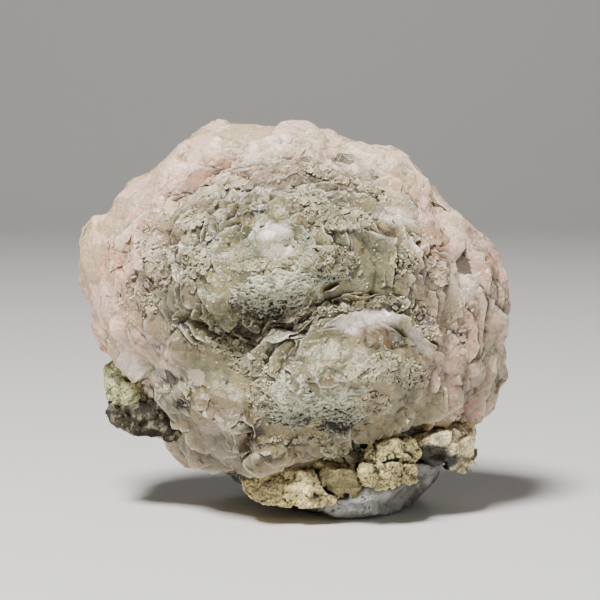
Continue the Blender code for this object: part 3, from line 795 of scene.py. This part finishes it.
class SPECIMEN_OT_calcite_body(bpy.types.Operator):
    """Build the dome of calcite with the low shells of its rim"""

    bl_idname = "specimen.calcite_body"
    bl_label = "Calcite dome"

    def execute(self, context):
        settings = context.scene.specimen_calcite
        piece, points, normals = gridded_copy(
            "calcite_cluster", "calcite_dome", settings.grid, settings.softening
        )
        points += normals * self.shell_heights(points, normals, settings)[:, None]
        points += normals * (0.16 * MM * noise_at(points, 1.6 * MM, 4))[:, None]
        write_points(piece.data, points)
        points, normals = read_points(piece.data)
        shares = calcite_shares(points, normals)
        shares["edge"] = np.zeros(len(points))
        shares["tint"] = 0.5 + 0.9 * noise_at(points, 6 * MM, 2)
        write_shares(piece.data, shares)
        material = calcite_material("calcite, grown in layers, satin", settings, 0.0, 0.28, 0.85)
        settle_piece(piece, material)
        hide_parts("calcite_cluster")
        return {"FINISHED"}

    def shell_heights(self, points, normals, settings):
        """How far the shells that lie over each other stand out at each point."""
        chance = random.Random(SHELL_SEED)
        heights = np.zeros(len(points))
        picks = [chance.randrange(len(points)) for _ in range(SHELLS)]
        for pick in picks:
            centre, normal = points[pick], normals[pick]
            away = Vector(centre) - DOME_CENTRE
            outward = Vector((away.x, -0.3 * away.length, away.z))
            facing = Vector(normal)
            tangent = outward - facing * outward.dot(facing)
            if tangent.length < 1e-6:
                continue
            tangent.normalize()
            sideways = facing.cross(tangent)
            radius = settings.shell_radius * chance.uniform(0.6, 1.25)
            near = np.linalg.norm(points - centre, axis=1) < radius * 1.3
            offset = points[near] - centre
            out = offset @ np.array(tangent) / radius
            side = offset @ np.array(sideways) / (radius * chance.uniform(0.9, 1.4))
            turn = np.arctan2(side, out)
            reach = np.ones(len(out))
            for waves in (2, 3, 5, 8):
                reach += 0.10 * np.cos(waves * turn + chance.uniform(0, math.tau))
            inside = smooth_step(reach - np.hypot(out, side), 0.0, 0.10)
            rise = settings.shell_step * chance.uniform(0.6, 1.1) * (0.5 + 0.5 * out)
            heights[near] = np.maximum(heights[near], inside * rise)
        return heights


class SPECIMEN_OT_calcite_plates(bpy.types.Operator):
    """Build the thin plates that cover the ring, the mounds, the skirt, the sides and the back"""

    bl_idname = "specimen.calcite_plates"
    bl_label = "Calcite plates"

    def execute(self, context):
        settings = context.scene.specimen_calcite
        surface = surface_of(("calcite_dome",))
        chance = random.Random(PLATE_SEED)
        plates = calcite_material("calcite plates, thin and glassy", settings, 0.22, 0.18, 0.85)
        films = calcite_material("calcite film, thin and satin", settings, 0.0, 0.42, 0.45)
        groups = (
            ("calcite_ring_plates", arc_seats(surface, RING_ARCS, chance), plates, 0.7, 0.20),
            ("calcite_mound_plates", arc_seats(surface, MOUND_ARCS, chance), plates, 0.7, 0.20),
            ("calcite_skirt_plates", arc_seats(surface, SKIRT_ARCS, chance), plates, 0.8, 0.18),
            ("calcite_rim_films", arc_seats(surface, FILM_ARCS, chance), films, 0.5, 0.5),
            ("calcite_belt_plates", belt_seats(surface, BELTS, chance), films, 0.8, 0.24),
            ("calcite_single_plates", self.sheet_seats(surface), plates, 1.0, 0.2),
        )
        for name, seats, material, thick, rough in groups:
            thickness = settings.plate_thickness * thick
            piece = plates_piece(name, seats, surface, thickness, chance, rough)
            settle_piece(piece, material)
            piece.data.set_sharp_from_angle(angle=math.radians(50))
        return {"FINISHED"}

    def sheet_seats(self, surface):
        seats = []
        for sheet in SHEETS:
            seat = pixel_seat(surface, sheet.px, sheet.py, math.radians(sheet.facing))
            if seat is None:
                raise RuntimeError(f"no calcite is seen at {sheet.px}, {sheet.py}")
            seats.append((*seat, (sheet.breadth, sheet.length, sheet.lift)))
        return seats


# A grain: a squashed double pyramid, long in X
GRAIN_POINTS = np.array(
    [(1, 0.2, 0), (0.3, 1, 0.1), (-0.9, 0.5, 0), (-0.6, -0.8, -0.1), (0.5, -0.9, 0), (0, 0.1, 1),
     (0.1, 0, -1)]
)
GRAIN_FACES = np.array(
    [(5, side, (side + 1) % 5) for side in range(5)] + [(6, (side + 1) % 5, side) for side in range(5)]
)


def grains_piece(name, seats, size, chance):
    """One piece of many small grains, each turned its own way on its seat."""
    points, faces, tints = [], [], []
    for centre, normal in seats:
        long = size * chance.uniform(0.45, 1.15) * 0.5
        scale = np.array((long, long * chance.uniform(0.45, 0.9), long * chance.uniform(0.25, 0.6)))
        spin = Matrix.Rotation(chance.uniform(0, math.tau), 3, "Z")
        tip = Matrix.Rotation(chance.gauss(0, 0.5), 3, "X")
        frame_in = normal.to_track_quat("Z", "Y").to_matrix()
        turned = (GRAIN_POINTS * scale) @ np.array(frame_in @ tip @ spin).T
        faces.append(GRAIN_FACES + len(points) * len(GRAIN_POINTS))
        points.append(turned + np.array(centre + normal * long * 0.2))
        tints.append(chance.random())
    return built_piece(
        name, np.concatenate(points), np.concatenate(faces), {"tint": np.repeat(tints, len(GRAIN_POINTS))}
    )


def scattered_seats(surface, areas, share, stand, chance):
    """Places strewn over the areas, as seen at their pixels, each up to stand above the surface."""
    seats = []
    for area in areas:
        turn = math.radians(area.lean)
        for _ in range(int(area.count * share)):
            angle, reach = chance.uniform(0, math.tau), chance.random() ** 0.6
            along = area.half_width * reach * math.cos(angle)
            across = area.half_height * reach * math.sin(angle)
            px = area.px + along * math.cos(turn) - across * math.sin(turn)
            py = area.py - along * math.sin(turn) - across * math.cos(turn)
            point, normal = seen_at(surface, px, py)
            if point is not None and not is_bare(px, py):
                seats.append((point + normal * chance.uniform(0.0, stand), normal))
    return seats


def flakes_piece(name, seats, size, chance):
    """One piece of many thin flat flakes, each tipped its own way on its seat."""
    sides = 6
    count = 2 + 2 * sides
    points, faces, edges = [], [], []
    pattern = []
    for side in range(sides):
        after = (side + 1) % sides
        pattern += [
            (0, 2 + side, 2 + after),
            (1, 2 + sides + after, 2 + sides + side),
            (2 + side, 2 + sides + side, 2 + sides + after),
            (2 + side, 2 + sides + after, 2 + after),
        ]
    pattern = np.array(pattern)
    for centre, normal in seats:
        long = size * chance.uniform(0.4, 1.3)
        narrow = long * chance.uniform(0.4, 0.9)
        thick = long * chance.uniform(0.06, 0.12)
        rim = []
        for side in range(sides):
            turn = math.tau * (side + chance.uniform(-0.3, 0.3)) / sides
            reach = chance.uniform(0.75, 1.1)
            rim.append((long * reach * math.cos(turn), narrow * reach * math.sin(turn), 0.0))
        rim = np.array(rim)
        made = np.concatenate(
            (((0, 0, thick), (0, 0, -thick)), rim + (0, 0, thick), rim * 0.92 - (0, 0, thick))
        )
        spin = Matrix.Rotation(chance.uniform(0, math.tau), 3, "Z")
        tip = Matrix.Rotation(math.radians(abs(chance.gauss(0, 24))), 3, "X")
        turned = made @ np.array(normal.to_track_quat("Z", "Y").to_matrix() @ spin @ tip).T
        faces.append(pattern + len(points) * count)
        points.append(turned + np.array(centre + normal * long * 0.12))
        edges.append([0.0, 0.0] + [0.55] * (2 * sides))
    shares = {"edge": np.concatenate(edges), "tint": np.repeat([chance.random() for _ in seats], count)}
    return built_piece(name, np.concatenate(points), np.concatenate(faces), shares)


CALCITE_PLATES = (
    "calcite_ring_plates",
    "calcite_mound_plates",
    "calcite_skirt_plates",
    "calcite_rim_films",
    "calcite_belt_plates",
    "calcite_single_plates",
)


class SPECIMEN_OT_grains(bpy.types.Operator):
    """Scatter the small cream grains and thin flakes that lie between the plates"""

    bl_idname = "specimen.grains"
    bl_label = "Small grains and flakes"

    def execute(self, context):
        settings = context.scene.specimen_calcite
        chance = random.Random(GRAIN_SEED)
        powders = [f"mineral_powder_{index}" for index in range(len(POWDER_AREAS))]
        surface = surface_of(("calcite_dome", *CALCITE_PLATES, *powders))
        seats = scattered_seats(surface, GRAIN_AREAS, 0.45, 0.4 * MM, chance)
        flakes = flakes_piece("calcite_flakes", seats, settings.flake, chance)
        placed, normals = read_points(flakes.data)
        write_shares(flakes.data, calcite_shares(placed, normals))
        material = bpy.data.materials["calcite film, thin and satin"]
        settle_piece(flakes, material, smooth=False)

        seats = scattered_seats(surface, GRAIN_AREAS, 1.3, 0.2 * MM, chance)
        grains = grains_piece("calcite_grains", seats, settings.grain, chance)
        placed, normals = read_points(grains.data)
        # The grains under the mounds take the painted shade and dark dust too
        write_shares(grains.data, {"soot": calcite_shares(placed, normals)["soot"] * 0.7})
        material = grain_material("calcite grains, broken", settings, settings.grains)
        settle_piece(grains, material, smooth=False)
        write_hollows(("calcite_dome", *CALCITE_PLATES, "calcite_flakes", "calcite_grains"))
        return {"FINISHED"}


# Pixels between the points of a patch of powder
POWDER_STEP = 0.8


class SPECIMEN_OT_powder(bpy.types.Operator):
    """Lay the rippled mineral powder on the mounds"""

    bl_idname = "specimen.powder"
    bl_label = "Mineral powder"

    def execute(self, context):
        settings = context.scene.specimen_calcite
        surface = surface_of(("calcite_dome",))
        for index, area in enumerate(POWDER_AREAS):
            self.patch(f"mineral_powder_{index}", area, surface, settings)
        return {"FINISHED"}

    def patch(self, name, area, surface, settings):
        """One patch as a fine net over the surface, sunk into it outside its ragged border."""
        wide = int(area.half_width * 1.25 / POWDER_STEP)
        tall = int(area.half_height * 1.25 / POWDER_STEP)
        turn = math.radians(area.lean)
        feet, facings, pixels = [], [], []
        for row in range(-tall, tall + 1):
            for column in range(-wide, wide + 1):
                along, across = column * POWDER_STEP, row * POWDER_STEP
                px = area.px + along * math.cos(turn) - across * math.sin(turn)
                py = area.py - along * math.sin(turn) - across * math.cos(turn)
                point, normal = seen_at(surface, px, py)
                if point is None:
                    raise RuntimeError(f"{name} hangs beside the calcite")
                feet.append(point)
                facings.append(normal)
                pixels.append((px, py))
        feet, facings, pixels = np.array(feet), np.array(facings), np.array(pixels)
        wobble = 0.55 * noise_at(feet, 2.2 * MM, 4)
        share = area_share((area,), pixels[:, 0], pixels[:, 1], wobble) / area.strength
        squeezed = feet * np.array((0.34, 1.0, 1.0))
        ripples = 1 - 2.6 * np.abs(noise_at(squeezed, settings.ripple, 2))
        lumps = noise_at(feet, 2.2 * MM, 3)
        height = (0.9 * MM + 0.45 * MM * lumps) * share - 0.5 * MM + 0.28 * MM * ripples * share
        # Painted shade: the patch is darker towards its lower edge, most of all between the ripples
        lower = smooth_step((pixels[:, 1] - area.py) / area.half_height, -0.45, 0.95)
        troughs = smooth_step(-ripples, -0.55, 0.35)
        deep = np.clip(0.42 * troughs + lower * (0.28 + 0.75 * troughs), 0.0, 0.97)
        points = feet + facings * height[:, None]
        span = 2 * wide + 1
        corners = np.array(
            [row * span + column for row in range(2 * tall) for column in range(2 * wide)]
        )
        faces = np.stack((corners, corners + 1, corners + span + 1, corners + span), axis=1)
        piece = built_piece(name, points, faces, {"deep": deep})
        placed, normals = read_points(piece.data)
        # Painted shade under the mounds, with dark dust, strongest between the ripples
        write_shares(piece.data, {"soot": calcite_shares(placed, normals)["soot"] * (0.3 + 0.7 * troughs)})
        material = bpy.data.materials.get("fine mineral powder, settled") or powder_material(settings)
        settle_piece(piece, material)


FACET_SEED = 7


def facet_heights(points, size):
    """Flat faces of about that size, each tipped its own way, as where crystal broke."""
    # Without a seed, noise_vector starts from the clock and differs in each run
    noise.seed_set(FACET_SEED)
    heights = []
    for point in (points / size).tolist():
        middle = noise.voronoi(point)[1][0]
        tip = noise.noise_vector(middle * 5.3)
        heights.append((Vector(point) - middle).dot(tip))
    return size * np.array(heights)


def quartz_material(settings):
    """Milky quartz, broken: cloudy grey, partly see-through, with white veils and dark specks,
    glossy on its fractures."""
    material, add = new_material("milky quartz, broken")
    place = add("TexCoord", output="Object")
    veil = add("Attribute", attribute_name="cloud", output="Fac")
    drift = add("TexNoise", {"Vector": place, "Scale": 1 / (8 * MM), "Detail": 6.0})
    fine = add("TexNoise", {"Vector": place, "Scale": 1 / (1.2 * MM), "Detail": 5.0})
    milky = add("MapRange", {"Value": drift, "From Min": 0.42, "From Max": 0.68, "To Max": 0.45})
    # Dark specks of rock, 1.2 mm apart
    speck = add("MapRange", {"Value": fine, "From Min": 0.62, "From Max": 0.68, "To Max": 0.9})
    # The veil is frosty, with clear gaps, and healed cracks run 4 mm apart as white lines
    frosty = add("MapRange", {"Value": fine, "From Min": 0.40, "From Max": 0.58, "To Min": 0.35})
    veil = add("Math", {0: veil, 1: frosty}, operation="MULTIPLY")
    bend = add("VectorMath", {0: drift, "Scale": 9 * MM}, operation="SCALE")
    bent = add("VectorMath", {0: place, 1: bend}, operation="ADD")
    crack = add("TexVoronoi", {"Vector": bent, "Scale": 1 / (4 * MM)}, feature="DISTANCE_TO_EDGE")
    crack = add("MapRange", {"Value": crack, "From Max": 0.035, "To Min": 0.22, "To Max": 0.0})
    white = add("Math", {0: milky, 1: veil}, operation="MAXIMUM")
    white = add("Math", {0: white, 1: crack}, operation="MAXIMUM")
    base = add("Mix", {0: white, 6: settings.body, 7: settings.cloud}, 2, data_type="RGBA")
    base = add("Mix", {0: speck, 6: base, 7: settings.speck}, 2, data_type="RGBA")
    clear = add("MapRange", {"Value": white, "To Min": 0.30, "To Max": 0.05})
    gloss = add("MapRange", {"Value": fine, "To Min": 0.08, "To Max": 0.36})
    relief = add("Bump", {"Height": fine, "Strength": 0.6, "Distance": 0.5 * MM})
    relief = add("Bump", {"Height": crack, "Strength": 0.6, "Distance": 0.4 * MM, "Normal": relief})
    finish_material(
        add,
        {
            "Base Color": base,
            "Roughness": gloss,
            "IOR": 1.544,
            "Transmission Weight": clear,
            "Subsurface Weight": 0.15,
            "Subsurface Radius": (1.0, 1.0, 1.0),
            "Subsurface Scale": 2.0 * MM,
            "Normal": relief,
        },
    )
    return material


# Where the veil in the quartz shows
CLOUD_AREAS = rows_of(Area, (360, 503, 20, 13, -10, 0.8))


class SPECIMEN_OT_quartz(bpy.types.Operator):
    """Build the milky quartz that carries the calcite"""

    bl_idname = "specimen.quartz"
    bl_label = "Quartz base"

    def execute(self, context):
        settings = context.scene.specimen_quartz
        piece, points, normals = gridded_copy("quartz_base", "quartz_body", settings.grid, 2)
        raised = smooth_step(points[:, 2], 0.3 * MM, 2.0 * MM)
        height = 1.3 * facet_heights(points, 7 * MM) + 0.8 * facet_heights(points, 2.6 * MM)
        height = (height + 0.10 * MM * noise_at(points, 1.6 * MM, 4)) * raised
        points += normals * np.minimum(height, 0.5 * MM)[:, None]
        points[:, 2] = np.maximum(points[:, 2], CAD_BOX[0].z)
        write_points(piece.data, points)
        px, py = picture_places(points)
        wobble = 0.7 * noise_at(points, 3 * MM, 4)
        cloud = area_share(CLOUD_AREAS, px, py, wobble, soft=0.5)
        write_shares(piece.data, {"cloud": cloud * (points[:, 1] < 0)})
        settle_piece(piece, quartz_material(settings))
        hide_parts("quartz_base")
        return {"FINISHED"}


def crust_material(name, settings, main, second, glassy):
    """A crust of fine grains: matte and dust-coated, painted darker between the grains, in its cracks and
    in its hollows as painted shade, with a second colour in given places; on the front block that colour
    is a painted highlight on its lit top."""
    material, add = new_material(name)
    place = add("TexCoord", output="Object")
    deep = add("Attribute", attribute_name="deep", output="Fac")
    other = add("Attribute", attribute_name="other", output="Fac")
    dark = add("Attribute", attribute_name="soot", output="Fac")
    hollow = add("Attribute", attribute_name="hollow", output="Fac")
    hidden = add("MapRange", {"Value": hollow, "From Min": 0.06, "From Max": 0.36})
    drift = add("TexNoise", {"Vector": place, "Scale": 1 / (2.4 * MM), "Detail": 5.0})
    shade = add(
        "MapRange", {"Value": drift, "From Min": 0.36, "From Max": 0.64, "To Min": 0.52, "To Max": 1.38}
    )
    base = add("Mix", {0: other, 6: main, 7: second}, 2, data_type="RGBA")
    grit = add("TexNoise", {"Vector": place, "Scale": 1 / (0.5 * MM), "Detail": 4.0})
    gritty = add(
        "MapRange", {"Value": grit, "From Min": 0.38, "From Max": 0.62, "To Min": 0.68, "To Max": 1.22}
    )
    for factor in (shade, gritty):
        base = add("VectorMath", {0: base, "Scale": factor}, operation="SCALE")
    # Painted shade: darker towards the rock's colour between the grains, in the cracks and folds and in
    # the hollows
    for share in (deep, dark, hidden):
        base = add("Mix", {0: share, 6: base, 7: settings.rock}, 2, data_type="RGBA")
    gloss = add("MapRange", {"Value": other, "To Min": 0.88, "To Max": 0.2 if glassy else 0.8})
    relief = add("Bump", {"Height": drift, "Strength": 0.5, "Distance": 0.2 * MM})
    relief = add("Bump", {"Height": grit, "Strength": 0.9, "Distance": 0.5 * MM, "Normal": relief})
    finish_material(add, {"Base Color": base, "Roughness": gloss, "Normal": relief})
    return material


# How a crusted crystal looks: its grain size and height in millimetres, how craggy and how
# faceted it is, its two colours, whether the second is glassy, and where it shows
Crust = namedtuple("Crust", "node piece grain height craggy faceted main second glassy areas")
CRUSTS = (
    Crust("crusted_crystal_left", "crust_on_left_crystal", 0.45, 0.12, 0.7, 0.5, "lime", "olive", False,
          (Area(145, 384, 12, 14, 0, 1.0),)),
    Crust("crusted_ledge_front", "crust_on_front_ledge", 0.42, 0.14, 0.8, 0.4, "ochre", "cream", False,
          (Area(300, 490, 30, 10, 0, 0.6),)),
    # On the front block the second colour marks its lit top: a painted highlight
    Crust("crusted_block_front", "crust_on_front_block", 0.5, 0.04, 0.25, 0.9, "olive", "ochre", False,
          (Area(338, 467, 20, 5, 0, 0.9),)),
    Crust("crusted_lump_right", "crust_on_right_lump", 0.5, 0.07, 1.2, 0.7, "cream", "ochre", False,
          (Area(392, 474, 30, 10, 0, 0.6),)),
    Crust("crusted_wedge_right", "crust_on_right_wedge", 0.4, 0.03, 0.4, 0.7, "tan", "glass", True,
          (Area(436, 459, 25, 14, -20, 1.0),)),
)


def cell_heights(points, size):
    """1 in the middle of rounded cells of that size, and 0 or less at their borders."""
    return np.array([1 - 2.2 * noise.voronoi(point)[0][0] ** 2 for point in (points / size).tolist()])


class SPECIMEN_OT_crusts(bpy.types.Operator):
    """Build the crusted crystals along the foot"""

    bl_idname = "specimen.crusts"
    bl_label = "Crusted crystals"

    def execute(self, context):
        settings = context.scene.specimen_crust
        for crust in CRUSTS:
            piece, points, normals = gridded_copy(crust.node, crust.piece, settings.grid, 4)
            px, py = picture_places(points)
            other = area_share(crust.areas, px, py, 0.3 * noise_at(points, 2 * MM, 3))
            cells = cell_heights(points, crust.grain * MM)
            rough = crust.height * MM * (1 - 0.8 * other) if crust.glassy else crust.height * MM
            folds = np.abs(noise_at(points, 3.4 * MM, 5))
            cracks = np.abs(noise_at(points, 1.0 * MM, 2))
            crags = 0.8 * MM * (np.minimum(folds, 0.4) - 0.2)
            crags += 0.9 * MM * (np.minimum(cracks, 0.3) - 0.15)
            facets = crust.faceted * facet_heights(points, 4.4 * MM)
            points += normals * (rough * cells + crust.craggy * crags + facets)[:, None]
            write_points(piece.data, points)
            # Painted shade between the grains and in the cracks and folds
            deep = 0.4 * smooth_step(-cells, -0.35, 0.6) * (1 - other if crust.glassy else 1.0)
            dark = 1 - smooth_step(np.minimum(folds, cracks * 1.6), 0.0, 0.13)
            dark *= 0.45 + 0.5 * crust.craggy
            write_shares(piece.data, {"deep": deep, "other": other, "soot": dark})
            material = crust_material(
                f"mineral crust, {crust.main}, grown grainy",
                settings,
                getattr(settings, crust.main),
                getattr(settings, crust.second),
                crust.glassy,
            )
            settle_piece(piece, material)
            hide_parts(crust.node)
        write_hollows([crust.piece for crust in CRUSTS], reach=1.8 * MM)
        return {"FINISHED"}


class SPECIMEN_OT_matrix(bpy.types.Operator):
    """Build the dark rock at the lower left"""

    bl_idname = "specimen.matrix"
    bl_label = "Matrix rock"

    def execute(self, context):
        settings = context.scene.specimen_crust
        piece, points, normals = gridded_copy(
            "matrix_rock_left", "rock_on_left", settings.grid * 1.3, 3
        )
        lumps = noise_at(points, 3.0 * MM, 5)
        cells = cell_heights(points, 1.3 * MM)
        facets = 0.7 * facet_heights(points, 4.0 * MM)
        points += normals * (0.5 * MM * lumps + 0.16 * MM * cells + facets)[:, None]
        write_points(piece.data, points)
        flecks = 0.5 * smooth_step(noise_at(points, 2.2 * MM, 5), 0.0, 0.5)
        # Painted shade between the rock's cells
        write_shares(
            piece.data, {"deep": smooth_step(-cells, -0.2, 0.7), "other": flecks, "soot": 0 * flecks}
        )
        material = crust_material(
            "brown-green rock, rough", settings, settings.rock, settings.fleck, False
        )
        settle_piece(piece, material)
        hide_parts("matrix_rock_left")
        return {"FINISHED"}


class SPECIMEN_OT_stage(bpy.types.Operator):
    """Build the pale floor, the soft lights and the camera"""

    bl_idname = "specimen.stage"
    bl_label = "Stage"

    def execute(self, context):
        settings = context.scene.specimen_stage
        self.floor(settings)
        self.light("Key", (-0.20, -0.42, 0.78), 0.22, settings.key)
        self.light("Fill", (0.55, -0.45, 0.25), 0.50, settings.fill)
        self.light("Back", (0.20, 0.55, 0.60), 0.40, settings.fill)
        self.world(context.scene)
        self.camera(context.scene)
        return {"FINISHED"}

    def floor(self, settings):
        """A floor that sweeps up behind the specimen."""
        profile = [(-1.6, 0.0), (0.9, 0.0)]
        profile += [
            (0.9 + 0.5 * math.sin(turn), 0.5 - 0.5 * math.cos(turn))
            for turn in np.linspace(0, math.pi / 2, 13)[1:]
        ]
        profile.append((1.4, 1.9))
        points = [(x, y, z - 0.05 * MM) for y, z in profile for x in (-2.2, 2.2)]
        faces = [(2 * i, 2 * i + 1, 2 * i + 3, 2 * i + 2) for i in range(len(profile) - 1)]
        piece = built_piece("studio_floor", points, faces, {})
        material, add = new_material("paper sweep, matte")
        place = add("TexCoord", output="Object")
        fibre = add("TexNoise", {"Vector": place, "Scale": 1 / (2 * MM), "Detail": 3.0})
        rough = add("MapRange", {"Value": fibre, "To Min": 0.8, "To Max": 0.95})
        finish_material(add, {"Base Color": settings.floor, "Roughness": rough})
        piece.data.materials.append(material)
        piece.data.polygons.foreach_set("use_smooth", [True] * len(faces))

    def light(self, name, place, size, power):
        data = bpy.data.lights.new(name, "AREA")
        data.size = size
        data.energy = power
        lamp = bpy.data.objects.new(name, data)
        lamp.location = place
        lamp.rotation_mode = "QUATERNION"
        lamp.rotation_quaternion = (VIEW_TARGET - Vector(place)).to_track_quat("-Z", "Y")
        bpy.context.scene.collection.objects.link(lamp)

    def world(self, scene):
        world = bpy.data.worlds.new("Studio")
        world.use_nodes = True
        world.node_tree.nodes["Background"].inputs["Color"].default_value = (*linear("E6E8EA"), 1)
        world.node_tree.nodes["Background"].inputs["Strength"].default_value = 0.08
        scene.world = world

    def camera(self, scene):
        data = bpy.data.cameras.new("Camera")
        data.sensor_width = SENSOR_WIDTH
        data.lens = SENSOR_WIDTH * VIEW_DISTANCE / VIEW_WIDTH
        data.clip_start = 0.01
        camera = bpy.data.objects.new("Camera", data)
        camera.location = camera_place()
        camera.rotation_mode = "QUATERNION"
        camera.rotation_quaternion = (-view_axes()[2]).to_track_quat("-Z", "Y")
        scene.collection.objects.link(camera)
        scene.camera = camera


OPERATORS = (
    SPECIMEN_OT_calcite_body,
    SPECIMEN_OT_calcite_plates,
    SPECIMEN_OT_powder,
    SPECIMEN_OT_grains,
    SPECIMEN_OT_quartz,
    SPECIMEN_OT_crusts,
    SPECIMEN_OT_matrix,
    SPECIMEN_OT_stage,
)
SETTINGS = {
    "specimen_calcite": CalciteSettings,
    "specimen_quartz": QuartzSettings,
    "specimen_crust": CrustSettings,
    "specimen_stage": StageSettings,
}


class SPECIMEN_PT_panel(bpy.types.Panel):
    """The pieces and their settings in the sidebar"""

    bl_idname = "SPECIMEN_PT_panel"
    bl_label = "Calcite with quartz"
    bl_space_type = "VIEW_3D"
    bl_region_type = "UI"
    bl_category = "Specimen"

    def draw(self, context):
        for operator in OPERATORS:
            self.layout.operator(operator.bl_idname)
        for name in SETTINGS:
            group = getattr(context.scene, name)
            box = self.layout.box()
            for key in group.__annotations__:
                box.prop(group, key)


def register():
    for group in SETTINGS.values():
        bpy.utils.register_class(group)
    for operator in OPERATORS:
        bpy.utils.register_class(operator)
    bpy.utils.register_class(SPECIMEN_PT_panel)
    for name, group in SETTINGS.items():
        setattr(bpy.types.Scene, name, PointerProperty(type=group))


def unregister():
    for name in SETTINGS:
        delattr(bpy.types.Scene, name)
    bpy.utils.unregister_class(SPECIMEN_PT_panel)
    for operator in reversed(OPERATORS):
        bpy.utils.unregister_class(operator)
    for group in SETTINGS.values():
        bpy.utils.unregister_class(group)


def main():
    register()
    bpy.ops.specimen.calcite_body()
    bpy.ops.specimen.calcite_plates()
    bpy.ops.specimen.powder()
    bpy.ops.specimen.grains()
    bpy.ops.specimen.quartz()
    bpy.ops.specimen.crusts()
    bpy.ops.specimen.matrix()
    bpy.ops.specimen.stage()
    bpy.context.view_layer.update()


if __name__ == "__main__":
    main()
